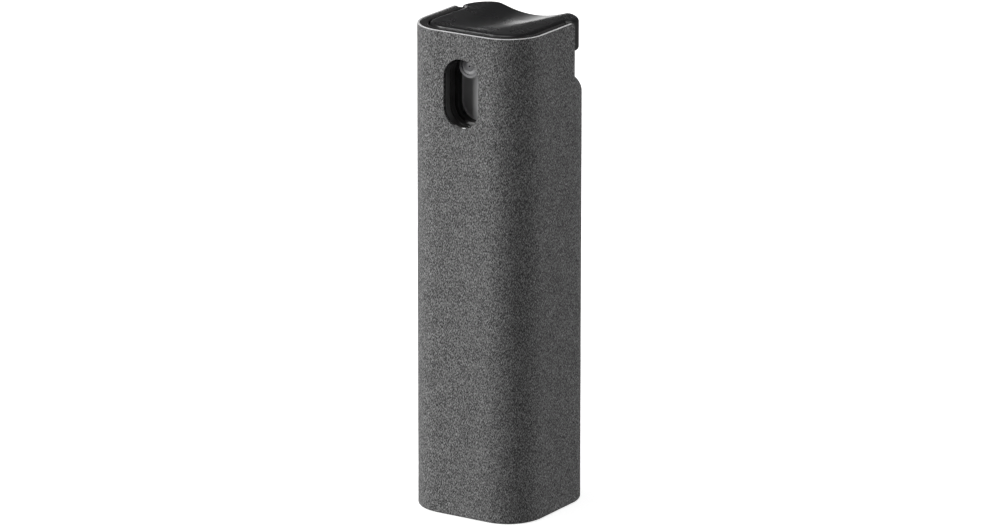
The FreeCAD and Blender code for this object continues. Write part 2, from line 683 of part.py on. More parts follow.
def make_press_head():
    """Thumb button with a skirt all round, a front apron with a stepped recess, and a dished top."""
    body = new_body("press_head")
    rear_top = f"({HEAD_FRONT_Z} - head_fall)"
    above = f"{HEAD_FRONT_Z} + 1"
    pad_outline(body, head_plan("0"), SKIRT_Z, above)

    slope = new_sketch(body, "YZ_Plane")
    behind = f"{FRONT} + 1"
    draw_polygon(slope, ((f"-{FRONT}", HEAD_FRONT_Z), (f"-{HEAD_FRONT}", HEAD_FRONT_Z),
                         (HEAD_REAR, rear_top), (behind, rear_top),
                         (behind, f"{above} + 1"), (f"-{FRONT}", f"{above} + 1")))
    cut_pocket(body, slope, "case_width + 2", both_ways=True)
    round_edges(body, "edge_round", on_outline(body))

    run = f"({HEAD_REAR} + {HEAD_FRONT} - dish_start)"
    start_fall = f"(head_fall * dish_start / ({HEAD_REAR} + {HEAD_FRONT}))"
    fall = f"(dish_depth + head_fall - {start_fall})"
    tilt = f"atan({fall} / {run})"
    dish = body.newObject("PartDesign::SubtractiveCylinder", "thumb_dish")
    dish.Placement = Placement(Vector(), Rotation(Vector(-1, 0, 0), 90))
    bind(dish, Radius="dish_radius", Height=f"3 * {run}", Placement__Rotation__Angle=f"90 deg + {tilt}",
         Placement__Base__y=f"dish_start - {HEAD_FRONT} + dish_radius * sin({tilt}) - {run} * cos({tilt})",
         Placement__Base__z=f"{HEAD_FRONT_Z} - {start_fall} + dish_radius * cos({tilt}) + {run} * sin({tilt})")

    narrow = f"case_width / 2 - {SLIDER}"
    apron_round = f"corner_radius - {SLIDER}"
    back = f"-{APRON_BACK}"
    face = f"-{HEAD_FRONT}"
    pad_outline(body, ((f"-({narrow})", face, apron_round), (narrow, face, apron_round),
                       (narrow, "0"), (f"-({narrow})", "0")), APRON_Z, SKIRT_Z)
    cut_outline(body, ((f"-({narrow}) - 1", back), (f"{narrow} + 1", back), (f"{narrow} + 1", "1"),
                       (f"-({narrow}) - 1", "1")), f"{APRON_Z} - 1", SKIRT_Z)

    hollow = list(head_plan("head_wall"))
    hollow[0] = (hollow[0][0], back)
    hollow[1] = (hollow[1][0], back)
    cut_outline(body, hollow, SKIRT_Z, HEAD_UNDER)

    outer = new_sketch(body, "XZ_Plane", f"{HEAD_FRONT} - recess_depth")
    draw_stadium(outer, "slot_width / 2", "slot_height / 2", SLOT_Z)
    cut_pocket(body, outer, "recess_depth + 1", reverse=True)
    inner = new_sketch(body, "XZ_Plane", f"{HEAD_FRONT} - recess_depth - recess_inner_depth")
    draw_stadium(inner, "slot_width / 2 - recess_step", "slot_height / 2 - recess_step", SLOT_Z)
    cut_pocket(body, inner, "recess_inner_depth + 1", reverse=True)
    hole = new_sketch(body, "XZ_Plane", f"{APRON_BACK} - 1")
    draw_circle(hole, "arm_radius + arm_gap", NOZZLE_Z)
    cut_pocket(body, hole, "apron_depth + 2", reverse=True)

    grip = new_sketch(body, "XY_Plane", f"{HEAD_UNDER} - grip_depth")
    draw_circle(grip, "hub_radius + seat_gap + grip_wall")
    add_pad(body, grip, "grip_depth")
    cut_round(body, "hub_radius + seat_gap", f"{HEAD_UNDER} - grip_depth", HEAD_UNDER)
    arm_way = "arm_radius + arm_gap"
    cut_outline(body, ((f"-({arm_way})", back), (arm_way, back), (arm_way, "0"), (f"-({arm_way})", "0")),
                f"{HEAD_UNDER} - grip_depth", HEAD_UNDER)
    return body


MAKERS = (
    make_microfibre_wrap, make_case_shell, make_base_pad,
    make_bottle, make_collar_cover, make_screw_closure, make_neck_gasket, make_pump_housing,
    make_pump_turret, make_stem_seal, make_dip_tube, make_check_ball, make_return_spring,
    make_pump_stem, make_piston, make_poppet, make_spray_actuator, make_nozzle_insert, make_press_head,
)
pieces = [maker() for maker in MAKERS]
doc.recompute()

for item in doc.Objects:
    faults = {"Invalid", "Error"} & set(item.State)
    if faults:
        raise RuntimeError(f"{item.Label} failed: {item.State} {item.getStatusString()}")
for piece in pieces:
    if piece.Shape.isNull() or not piece.Shape.isValid() or not piece.Shape.Solids:
        raise RuntimeError(f"{piece.Label} has no valid solid")

os.makedirs("parts", exist_ok=True)
for piece in pieces:
    piece.Shape.exportStep(f"parts/{piece.Label}.step")
    box = piece.Shape.BoundBox
    print(f"{piece.Label:16s} {piece.Shape.Volume:9.1f} mm3  x {box.XMin:7.2f} {box.XMax:7.2f}  "
          f"y {box.YMin:7.2f} {box.YMax:7.2f}  z {box.ZMin:7.2f} {box.ZMax:7.2f}")
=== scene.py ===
"""Pocket lens-cleaning spray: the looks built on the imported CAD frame.

The sleeve and the base patch are suede microfibre, the press head is satin black ABS,
and the case edges are gloss black.  Lengths inside the shape functions are millimetres
and become metres in to_mesh and write_points.  The studio's lengths are metres.
"""
import math
import bmesh
import bpy
import numpy as np
from mathutils import Matrix, Vector, noise


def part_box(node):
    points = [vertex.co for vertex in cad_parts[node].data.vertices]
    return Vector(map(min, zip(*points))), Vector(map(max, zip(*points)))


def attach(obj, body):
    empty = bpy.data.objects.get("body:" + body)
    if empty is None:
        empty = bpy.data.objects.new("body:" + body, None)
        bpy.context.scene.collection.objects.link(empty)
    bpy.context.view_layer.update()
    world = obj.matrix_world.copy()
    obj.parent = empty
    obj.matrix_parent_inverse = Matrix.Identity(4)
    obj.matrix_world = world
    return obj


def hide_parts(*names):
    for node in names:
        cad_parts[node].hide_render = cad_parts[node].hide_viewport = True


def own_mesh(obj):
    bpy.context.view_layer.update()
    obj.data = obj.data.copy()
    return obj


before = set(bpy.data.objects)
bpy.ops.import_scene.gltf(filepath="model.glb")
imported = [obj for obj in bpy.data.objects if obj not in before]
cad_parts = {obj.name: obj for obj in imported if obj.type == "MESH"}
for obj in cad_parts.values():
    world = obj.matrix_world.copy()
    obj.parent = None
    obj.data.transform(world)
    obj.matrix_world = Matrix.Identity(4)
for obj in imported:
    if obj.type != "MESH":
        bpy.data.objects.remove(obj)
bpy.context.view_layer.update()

MM = 0.001


def node_box(name):
    """A CAD node's lowest and highest corners in millimetres."""
    low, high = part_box(name)
    return [value / MM for value in low], [value / MM for value in high]


# ---------------------------------------------------------------- sizes from the frame
WRAP_LOW, WRAP_HIGH = node_box("microfibre_wrap")
SHELL_LOW, SHELL_HIGH = node_box("case_shell")
PAD_HIGH = node_box("base_pad")[1]
HEAD_LOW, HEAD_HIGH = node_box("press_head")
INSERT_LOW, INSERT_HIGH = node_box("nozzle_insert")

HALF_X, HALF_Y, RIM = WRAP_HIGH[0], WRAP_HIGH[1], WRAP_HIGH[2]
CORNER = 7.1
WRAP = HALF_X - SHELL_HIGH[0]
SHELL_WALL = 1.5
SHELL_FLOOR = 1.2
NOZZLE_Z = (INSERT_LOW[2] + INSERT_HIGH[2]) / 2

SLOT_HALF_WIDTH, SLOT_HALF_HEIGHT = 3.475, 6.1
SLOT_DROP, STEP_DROP, SKIRT_DROP = 10.8, 10.36, 5.55    # below the rim
SLOT_Z, STEP_Z, SKIRT_Z = RIM - SLOT_DROP, RIM - STEP_DROP, RIM - SKIRT_DROP
SLOT_CUT_BACK = 0.12                      # the fabric's slot is larger than the shell's by this, all round
SLOT_REACH = 4                            # how far the slot's tool goes in from the front
STEP_DEPTH = 7.35                         # forward from the back
STEP_Y = HALF_Y - STEP_DEPTH
STEP_ROUND, RIM_ROUND = 3.0, 1.1
STEP_FLARE = 0.7                          # the fabric's run into the step plane
LEDGE_REACH = 0.985                       # share of the ledge's arc that the rear wall's top covers
INNER = WRAP + SHELL_WALL

HEAD_SIDE, HEAD_WIDE = HALF_X - INNER - 0.2, HEAD_HIGH[0]
HEAD_FRONT, HEAD_REAR = HEAD_LOW[1], HEAD_HIGH[1]
HEAD_LEDGE = STEP_Y + 0.3
HEAD_TOP, HEAD_FALL, HEAD_CORNER = RIM + 0.15, 0.2, 5.8
HEAD_PLATE, HEAD_WALL = 2.9, 1.5
HEAD_UNDER = HEAD_TOP - HEAD_PLATE
SPOKE_SHIFT = 0.35                        # the rings' middle lies this far in front of the ledge
APRON_Z, APRON_BACK = HEAD_LOW[2], HEAD_FRONT + 4.7
RECESS, RECESS_INNER, RECESS_STEP = 1.7, 1.8, 0.28
FLOOR_FILLET = 0.3                        # corner of the recess floor
DISH_RADIUS, DISH_DEPTH, DISH_START = 18.6, 1.45, 3.0
DISH_SOFT = 0.30                          # blend between the dish and the slope
ARM_RADIUS, ARM_GAP = 2.05, 0.2
HUB_RADIUS, HUB_GAP, GRIP_WALL, GRIP_DEPTH = 3.6, 0.03, 1.2, 2.6

SEAM_DEPTH, SEAM_WIDTH = 0.16, 0.16       # groove of the butt seam at the back
RIDGE_HEIGHT, RIDGE_PLACE, RIDGE_WIDTH = 0.05, 0.5, 0.3  # the fabric's swell on each side of it
PALE_RIM = 0.10                           # depth of the cut fibres along the rim
PATCH_GAP = 0.1                           # from the shell's outline to the base patch's
CLEAR = 2                                 # how far a cutting tool runs past the surface

NAP_STEP = 0.2          # grid of the microfibre surface
EDGE_ROUND = 0.8                          # upper edges of the head


# ---------------------------------------------------------------- mesh helpers
def to_mesh(name, points, faces):
    """A mesh object from points in millimetres."""
    mesh = bpy.data.meshes.new(name)
    mesh.from_pydata((np.asarray(points, float) * MM).tolist(), [], [list(face) for face in faces])
    mesh.validate()
    thing = bpy.data.objects.new(name, mesh)
    bpy.context.scene.collection.objects.link(thing)
    solid = bmesh.new()
    solid.from_mesh(mesh)
    bmesh.ops.recalc_face_normals(solid, faces=solid.faces)
    solid.to_mesh(mesh)
    solid.free()
    return thing


def arc(centre, radius, start, end, count):
    """Points on an arc, angles in degrees."""
    angles = np.radians(np.linspace(start, end, count))
    return np.column_stack((centre[0] + radius * np.cos(angles), centre[1] + radius * np.sin(angles)))


def rounded_box(half_x, half_y, radius, step):
    """An anticlockwise rounded rectangle with evenly spaced points, and its outward normals."""
    quarter = math.pi / 2
    runs = []
    for turn, (sx, sy) in enumerate(((1, 1), (-1, 1), (-1, -1), (1, -1))):
        centre = np.array((sx * (half_x - radius), sy * (half_y - radius)))
        count = max(3, round(radius * quarter / step))
        angles = turn * quarter + np.linspace(0, quarter, count, endpoint=False)
        normals = np.column_stack((np.cos(angles), np.sin(angles)))
        runs.append((centre + radius * normals, normals))
        away = np.array((math.cos((turn + 1) * quarter), math.sin((turn + 1) * quarter)))
        length = 2 * (half_x if turn % 2 == 0 else half_y) - 2 * radius
        along = np.array((-away[1], away[0]))
        count = max(1, round(length / step))
        places = np.linspace(0, length, count, endpoint=False)
        runs.append((centre + radius * away + places[:, None] * along, np.tile(away, (count, 1))))
    return np.vstack([run[0] for run in runs]), np.vstack([run[1] for run in runs])


def band_faces(around, rows, bands):
    """Quads between neighbouring rows of points; as many bands as rows also joins the last to the first."""
    faces = []
    for row in range(bands):
        above = (row + 1) % rows
        for i in range(around):
            j = (i + 1) % around
            faces.append((row * around + i, row * around + j, above * around + j, above * around + i))
    return faces


def closed_ring(name, rings):
    """A solid ring: its section is closed, so the last ring of points joins the first."""
    around, rows = len(rings[0]), len(rings)
    return to_mesh(name, np.vstack(rings), band_faces(around, rows, rows))


def swept(name, outline, normals, profile):
    """A ring swept round an outline from a closed profile of (inset, height) points."""
    return closed_ring(name, [upright(outline - inset * normals, height) for inset, height in profile])


def stack(name, rings):
    """A closed solid from rings of the same count, capped at both ends."""
    around, rows = len(rings[0]), len(rings)
    faces = band_faces(around, rows, rows - 1)
    faces.append(tuple(range(around)))
    faces.append(tuple(range((rows - 1) * around, rows * around)))
    return to_mesh(name, np.vstack(rings), faces)


def upright(outline, height):
    """An (x, y) outline laid level at a height."""
    return np.column_stack((outline, np.full(len(outline), float(height))))


def facing_front(outline, depth):
    """An (x, z) outline set upright at a Y depth."""
    return np.column_stack((outline[:, 0], np.full(len(outline), float(depth)), outline[:, 1]))


def prism(name, outline, low, high):
    return stack(name, [upright(outline, low), upright(outline, high)])


def stadium(half_width, half_height, middle):
    """An upright slot outline with round ends, as (x, z) points."""
    rise = half_height - half_width
    top = arc((0, middle + rise), half_width, 0, 180, 49)
    foot = arc((0, middle - rise), half_width, 180, 360, 49)
    return np.vstack((top, foot))


def carve(thing, tool, operation="DIFFERENCE"):
    """Apply a boolean and remove its tool."""
    change = thing.modifiers.new("carve", "BOOLEAN")
    change.operation = operation
    change.solver = "MANIFOLD"
    change.object = tool
    apply_modifiers(thing)
    bpy.data.objects.remove(tool)


def apply_modifiers(thing):
    bpy.context.view_layer.update()
    graph = bpy.context.evaluated_depsgraph_get()
    fresh = bpy.data.meshes.new_from_object(thing.evaluated_get(graph))
    old = thing.data
    fresh.materials.clear()
    thing.modifiers.clear()
    thing.data = fresh
    bpy.data.meshes.remove(old)


def shade(thing, sharp_over):
    """Smooth shading, with edges over an angle in degrees kept sharp."""
    thing.data.shade_smooth()
    thing.data.set_sharp_from_angle(angle=math.radians(sharp_over))


def read_points(thing):
    points = np.empty(len(thing.data.vertices) * 3, np.float32)
    thing.data.vertices.foreach_get("co", points)
    return points.reshape(-1, 3).astype(float) / MM


def write_points(thing, points):
    thing.data.vertices.foreach_set("co", (points * MM).astype(np.float32).ravel())
    thing.data.update()


# ---------------------------------------------------------------- materials
def new_material(name):
    material = bpy.data.materials.new(name)
    material.use_nodes = True
    tree = material.node_tree
    shader = tree.nodes["Principled BSDF"]
    return material, tree, shader


def set_values(shader, **values):
    for name, value in values.items():
        shader.inputs[name.replace("_", " ")].default_value = value


def add_node(tree, kind, **settings):
    node = tree.nodes.new(kind)
    for name, value in settings.items():
        setattr(node, name, value)
    return node


def noise_texture(tree, vector, scale, detail=2.0, roughness=0.5):
    texture = add_node(tree, "ShaderNodeTexNoise")
    texture.inputs["Scale"].default_value = scale
    texture.inputs["Detail"].default_value = detail
    texture.inputs["Roughness"].default_value = roughness
    tree.links.new(vector, texture.inputs["Vector"])
    return texture.outputs["Fac"]


def stretched(tree, vector, turn, scale):
    """The same coordinates, turned and scaled along each axis."""
    mapping = add_node(tree, "ShaderNodeMapping")
    mapping.inputs["Rotation"].default_value = [math.radians(angle) for angle in turn]
    mapping.inputs["Scale"].default_value = scale
    tree.links.new(vector, mapping.inputs["Vector"])
    return mapping.outputs["Vector"]


def blend_values(tree, kind, first, second):
    node = add_node(tree, "ShaderNodeMath", operation=kind)
    for socket, value in zip(node.inputs, (first, second)):
        if isinstance(value, (int, float)):
            socket.default_value = value
        else:
            tree.links.new(value, socket)
    return node.outputs[0]


def ramp(tree, value, *stops):
    """A colour ramp from (position, colour) stops."""
    node = add_node(tree, "ShaderNodeValToRGB")
    elements = node.color_ramp.elements
    for index, (place, colour) in enumerate(stops):
        element = elements[index] if index < 2 else elements.new(place)
        element.position = place
        element.color = (*colour, 1.0)
    tree.links.new(value, node.inputs["Fac"])
    return node.outputs["Color"]


def spread(tree, value, low, high, to_low, to_high):
    node = add_node(tree, "ShaderNodeMapRange")
    for name, number in (("From Min", low), ("From Max", high), ("To Min", to_low), ("To Max", to_high)):
        node.inputs[name].default_value = number
    tree.links.new(value, node.inputs["Value"])
    return node.outputs["Result"]


def add_bump(tree, shader, height, strength, distance):
    bump = add_node(tree, "ShaderNodeBump")
    bump.inputs["Strength"].default_value = strength
    bump.inputs["Distance"].default_value = distance
    tree.links.new(height, bump.inputs["Height"])
    tree.links.new(bump.outputs["Normal"], shader.inputs["Normal"])


def grey(level, warm=0.0):
    return (level * (1 + warm), level, level * (1 - warm))


def microfibre(name, dark, middle, light):
    """Suede nap: short fibres lying both ways across an almost even ground."""
    material, tree, shader = new_material(name)
    place = add_node(tree, "ShaderNodeTexCoord").outputs["Object"]
    fibre = (1, 1, 0.38)
    rising = noise_texture(tree, stretched(tree, place, (45, 30, 20), fibre), scale=8600, detail=1.0)
    falling = noise_texture(tree, stretched(tree, place, (-45, -30, 70), fibre), scale=8200, detail=1.0)
    fibres = blend_values(tree, "ADD", blend_values(tree, "MULTIPLY", rising, 0.5),
                          blend_values(tree, "MULTIPLY", falling, 0.5))
    clouds = noise_texture(tree, place, scale=260, detail=3.0)
    tone = blend_values(tree, "ADD", fibres, blend_values(tree, "MULTIPLY", clouds, 0.05))
    colour = ramp(tree, tone, (0.40, dark), (0.66, light), (0.525, middle))
    tree.links.new(colour, shader.inputs["Base Color"])
    set_values(shader, Roughness=0.95, Specular_IOR_Level=0.12, Sheen_Weight=0.12, Sheen_Roughness=0.4)
    shader.inputs["Sheen Tint"].default_value = (0.9, 0.9, 0.92, 1)
    add_bump(tree, shader, fibres, strength=0.9, distance=0.0001)
    return material


def cut_edge(name):
    """Pale fibre ends along the sleeve's cut rim."""
    material, tree, shader = new_material(name)
    place = add_node(tree, "ShaderNodeTexCoord").outputs["Object"]
    ends = noise_texture(tree, place, scale=5200, roughness=0.6)
    tree.links.new(ramp(tree, ends, (0.3, grey(0.42)), (0.72, grey(0.8))), shader.inputs["Base Color"])
    set_values(shader, Roughness=0.9, Specular_IOR_Level=0.2, Sheen_Weight=0.3)
    add_bump(tree, shader, ends, strength=0.5, distance=0.00008)
    return material


def moulded(name, colour, roughness, grain=0.05, grain_scale=5200, coat=0.0, wear=0.25, mottling=0.12):
    """Moulded plastic: fine grain, slight mottling, paler worn edges and roughness varying in broad
    patches.
    """
    material, tree, shader = new_material(name)
    place = add_node(tree, "ShaderNodeTexCoord").outputs["Object"]
    fine = noise_texture(tree, place, grain_scale)
    broad = noise_texture(tree, place, scale=180, detail=4.0)
    edges = add_node(tree, "ShaderNodeNewGeometry").outputs["Pointiness"]
    worn = spread(tree, edges, 0.52, 0.62, 0.0, wear)
    tone = blend_values(tree, "ADD", spread(tree, broad, 0.3, 0.7, -mottling, mottling), worn)
    mix = spread(tree, tone, -0.5, 0.5, 0.0, 1.0)
    low = tuple(channel * 0.6 for channel in colour)
    high = tuple(min(1.0, channel * 1.4 + 0.004) for channel in colour)
    tree.links.new(ramp(tree, mix, (0.0, low), (1.0, high)), shader.inputs["Base Color"])
    patchy = spread(tree, broad, 0.3, 0.7, roughness * 0.88, roughness * 1.12)
    tree.links.new(patchy, shader.inputs["Roughness"])
    set_values(shader, Specular_IOR_Level=0.5, Coat_Weight=coat, Coat_Roughness=0.12)
    add_bump(tree, shader, fine, strength=grain, distance=0.00004)
    return material


def clear_plastic(name, tint, roughness):
    """Bottle plastic with faint flow lines along its height."""
    material, tree, shader = new_material(name)
    place = add_node(tree, "ShaderNodeTexCoord").outputs["Object"]
    flow = noise_texture(tree, stretched(tree, place, (0, 0, 0), (1, 1, 0.12)), scale=420, detail=3.0)
    darker = tuple(channel * 0.94 for channel in tint)
    tree.links.new(ramp(tree, flow, (0.2, darker), (0.8, tint)), shader.inputs["Base Color"])
    patchy = spread(tree, flow, 0.3, 0.7, roughness * 0.7, roughness * 1.3)
    tree.links.new(patchy, shader.inputs["Roughness"])
    set_values(shader, IOR=1.5, Transmission_Weight=0.86)
    add_bump(tree, shader, flow, strength=0.12, distance=0.00015)
    return material


def steel(name, line_scale):
    """Bright stainless steel with fine drawing or polishing lines."""
    material, tree, shader = new_material(name)
    place = add_node(tree, "ShaderNodeTexCoord").outputs["Object"]
    lines = noise_texture(tree, stretched(tree, place, (0, 0, 0), line_scale), scale=3000)
    tree.links.new(ramp(tree, lines, (0.3, grey(0.48)), (0.7, grey(0.68))), shader.inputs["Base Color"])
    tree.links.new(spread(tree, lines, 0.3, 0.7, 0.16, 0.3), shader.inputs["Roughness"])
    set_values(shader, Metallic=1.0)
    add_bump(tree, shader, lines, strength=0.1, distance=0.00003)
    return material


FABRIC = microfibre("suede_microfibre", grey(0.03), grey(0.115), grey(0.34))
FABRIC_EDGE = cut_edge("microfibre_cut_edge")
GLOSS_BLACK = moulded("gloss_black_abs", (0.022, 0.021, 0.0205), 0.15, 0.01, coat=0.35)
SATIN_BLACK = moulded("satin_black_abs", (0.012, 0.012, 0.0124), 0.28, 0.012, 6500, wear=0.2, mottling=0.04)
COLLAR_BLACK = moulded("collar_black_abs", (0.016, 0.016, 0.017), 0.45, 0.12)
NOZZLE_GREY = moulded("nozzle_grey_pom", (0.15, 0.15, 0.155), 0.4, 0.05, wear=0.1, mottling=0.05)
ACTUATOR_GREY = moulded("actuator_grey_pp", (0.15, 0.15, 0.155), 0.4, 0.05, wear=0.1, mottling=0.05)
CLOSURE_BLACK = moulded("closure_black_pp", (0.02, 0.02, 0.021), 0.42, 0.15)
PUMP_WHITE = moulded("pump_white_pp", (0.74, 0.75, 0.76), 0.4, 0.06, wear=0.05, mottling=0.04)
STEM_WHITE = moulded("stem_white_pom", (0.8, 0.8, 0.79), 0.3, 0.04, wear=0.05, mottling=0.03)
PISTON_NATURAL = moulded("piston_natural_pe", (0.66, 0.67, 0.68), 0.5, 0.06, wear=0.05, mottling=0.05)
GASKET = moulded("gasket_pe_foam", (0.72, 0.72, 0.7), 0.8, 0.5, 2600, wear=0.05)
RUBBER = moulded("seal_rubber", (0.02, 0.02, 0.02), 0.7, 0.3, 4200)
BOTTLE_CLEAR = clear_plastic("bottle_clear_pet", (0.93, 0.95, 0.96), 0.08)
TUBE_CLEAR = clear_plastic("dip_tube_pe", (0.9, 0.92, 0.93), 0.25)
RECESS_FLOOR = moulded("recess_floor_abs", (0.52, 0.52, 0.525), 0.36, 0.03, wear=0.1, mottling=0.04)
SPRING_STEEL = steel("spring_steel", (1, 1, 0.2))
BALL_STEEL = steel("ball_steel", (1, 1, 1))


# ---------------------------------------------------------------- sleeve and base patch
def ledge_end(radius):
    """Where a skin of the rounded ledge meets the case's inner face: its angle and height."""
    angle = math.acos((STEP_ROUND - INNER) / radius)
    return angle, STEP_Z - STEP_ROUND + radius * math.sin(angle)


def step_tool(floor, top):
    """What the step takes out of the back of the case, with the walls' corners rounded."""
    corner = arc((STEP_Y - RIM_ROUND, top - RIM_ROUND), RIM_ROUND, 0, 90, 13)
    over, behind, wide = top + CLEAR, HALF_Y + CLEAR, HALF_X + CLEAR
    beyond = np.array(((STEP_Y - RIM_ROUND, over), (behind, over), (behind, floor), (STEP_Y, floor)))
    side = np.vstack((corner, beyond))
    rings = [np.column_stack((np.full(len(side), x), side)) for x in (-wide, wide)]
    return stack("step_tool", rings)


def bend_ledge(points, floor, inner_skin):
    """Lean the rear wall's top inwards over the ledge's rounded edge.

    Points nearer the middle than the inner skin's inset stay where they are.
    """
    knee = STEP_Z - STEP_ROUND
    flat_x, flat_y = HALF_X - CORNER, HALF_Y - CORNER
    for index, (x, y, z) in enumerate(points):
        if y <= STEP_Y or z <= knee or z > floor + 0.01:
            continue
        middle = np.array((max(-flat_x, min(flat_x, x)), max(-flat_y, min(flat_y, y))))
        away = np.array((x, y)) - middle
        reach = math.hypot(*away)
        inset = CORNER - reach
        if inset > inner_skin:
            continue
        radius = STEP_ROUND - inset
        angle = LEDGE_REACH * ledge_end(radius)[0] * (z - knee) / (floor - knee)
        share = min(1.0, (y - STEP_Y) / STEP_FLARE)
        share = share * share * (3 - 2 * share)
        new_reach = CORNER - STEP_ROUND + radius * math.cos(angle)
        new_place = middle + away / reach * (reach + share * (new_reach - reach))
        new_height = z + share * (knee + radius * math.sin(angle) - z)
        points[index] = (*new_place, new_height)
    return points


def slot_tool(margin):
    """A stadium prism through the front wall only, larger than the slot by a margin."""
    outline = stadium(SLOT_HALF_WIDTH + margin, SLOT_HALF_HEIGHT + margin, SLOT_Z)
    near, far = HALF_Y - SLOT_REACH, HALF_Y + CLEAR
    return stack("slot_tool", [facing_front(outline, -near), facing_front(outline, -far)])


def nap_height(x, y, z):
    """Relief of the nap, in millimetres: fibre tufts on a faint unevenness."""
    tufts = noise.noise(Vector((x * 3.1, y * 3.1, z * 3.1)))
    crossing = noise.noise(Vector((x * 1.6 + z * 1.9, y * 1.6 - z * 1.5, z * 1.2 + 40)))
    waves = noise.noise(Vector((x * 0.16, y * 0.16, z * 0.16 + 90)))
    return 0.016 * tufts + 0.009 * crossing + 0.022 * waves


def on_step_cut(place):
    """Whether a place lies on the side walls' cut ends, over the step."""
    if place.y < STEP_Y - RIM_ROUND or place.z < STEP_Z - STEP_ROUND:
        return False
    if place.z < RIM - RIM_ROUND:
        return abs(place.y - STEP_Y) < 0.005
    return abs(math.hypot(place.y - STEP_Y + RIM_ROUND, place.z - RIM + RIM_ROUND) - RIM_ROUND) < 0.02


def make_sleeve():
    """The microfibre sleeve: napped outside, rolled rim, folded hem and a butt seam at the back."""
    outline, normals = rounded_box(HALF_X, HALF_Y, CORNER, NAP_STEP)
    hem, lip = 0.4, 0.14
    low = WRAP_LOW[2]
    profile = [(WRAP, low + 0.05), (WRAP - 0.04, low)]
    profile += [(hem - hem * math.sin(a), low + hem - hem * math.cos(a))
                for a in np.radians((8, 35, 60, 80))]
    rows = round((RIM - lip - low - hem) / NAP_STEP)
    profile += [(0.0, height) for height in np.linspace(low + hem, RIM - lip, rows)]
    profile += [(lip - lip * math.cos(a), RIM - lip + lip * math.sin(a)) for a in np.radians((25, 50, 75))]
    profile += [(WRAP / 2, RIM + 0.01), (WRAP - 0.08, RIM - 0.01), (WRAP, RIM - 0.07)]
    profile += [(WRAP, height) for height in (RIM * 0.75, RIM * 0.5, RIM * 0.25)]
    sleeve = swept("microfibre_sleeve", outline, normals, profile)
    ledge_top = ledge_end(STEP_ROUND)[1]
    carve(sleeve, step_tool(ledge_top, RIM))
    carve(sleeve, slot_tool(SLOT_CUT_BACK))

    points = read_points(sleeve)
    cut_faces = [face.index for face in sleeve.data.polygons if on_step_cut(face.center / MM)]
    flat_x, flat_y = HALF_X - CORNER, HALF_Y - CORNER
    for index, (x, y, z) in enumerate(points):
        middle = Vector((max(-flat_x, min(flat_x, x)), max(-flat_y, min(flat_y, y))))
        away = Vector((x, y)) - middle
        if away.length < CORNER - WRAP / 2:
            continue
        lift = nap_height(x, y, z)
        if y > 0:
            groove = SEAM_DEPTH * math.exp(-(x / SEAM_WIDTH) ** 2)
            ridge = RIDGE_HEIGHT * math.exp(-((abs(x) - RIDGE_PLACE) / RIDGE_WIDTH) ** 2)
            lift -= groove - ridge
        away.normalize()
        points[index, :2] += (away.x * lift, away.y * lift)
    write_points(sleeve, bend_ledge(points, ledge_top, INNER))
    shade(sleeve, 50)

    sleeve.data.materials.append(FABRIC)
    sleeve.data.materials.append(FABRIC_EDGE)
    for face in sleeve.data.polygons:
        on_rim = face.center.z > (RIM - PALE_RIM) * MM
        face.material_index = 1 if on_rim else 0
    for index in cut_faces:
        sleeve.data.polygons[index].material_index = 1

    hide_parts("microfibre_wrap")
    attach(sleeve, "case")


def make_base_patch():
    """The microfibre patch bonded under the case."""
    half_x, half_y, thick = PAD_HIGH[0], PAD_HIGH[1], PAD_HIGH[2]
    radius = CORNER - WRAP - PATCH_GAP
    outline, normals = rounded_box(half_x, half_y, radius, 0.45)
    edge = 0.16
    insets = [(edge, 0.0), (edge * 0.3, edge * 0.3), (0.0, edge), (0.0, thick - edge), (edge, thick)]
    layers = [upright(outline * share, 0.0) for share in (0.04, 0.2, 0.4, 0.6, 0.8, 0.93)]
    layers += [upright(outline - inset * normals, height) for inset, height in insets]
    layers += [upright(outline * share, thick) for share in (0.8, 0.4, 0.04)]
    patch = stack("base_microfibre_patch", layers)
    split = patch.modifiers.new("finer", "SUBSURF")
    split.subdivision_type = "SIMPLE"
    split.levels = split.render_levels = 1
    apply_modifiers(patch)
    points = read_points(patch)
    for index, (x, y, z) in enumerate(points):
        if z < 0.01:
            points[index, 2] += 0.05 + 0.9 * nap_height(x, y, 300)
    points[:, 2] = np.maximum(points[:, 2], 0.0)
    write_points(patch, points)
    shade(patch, 50)
    patch.data.materials.append(FABRIC)
    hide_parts("base_pad")
    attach(patch, "case")


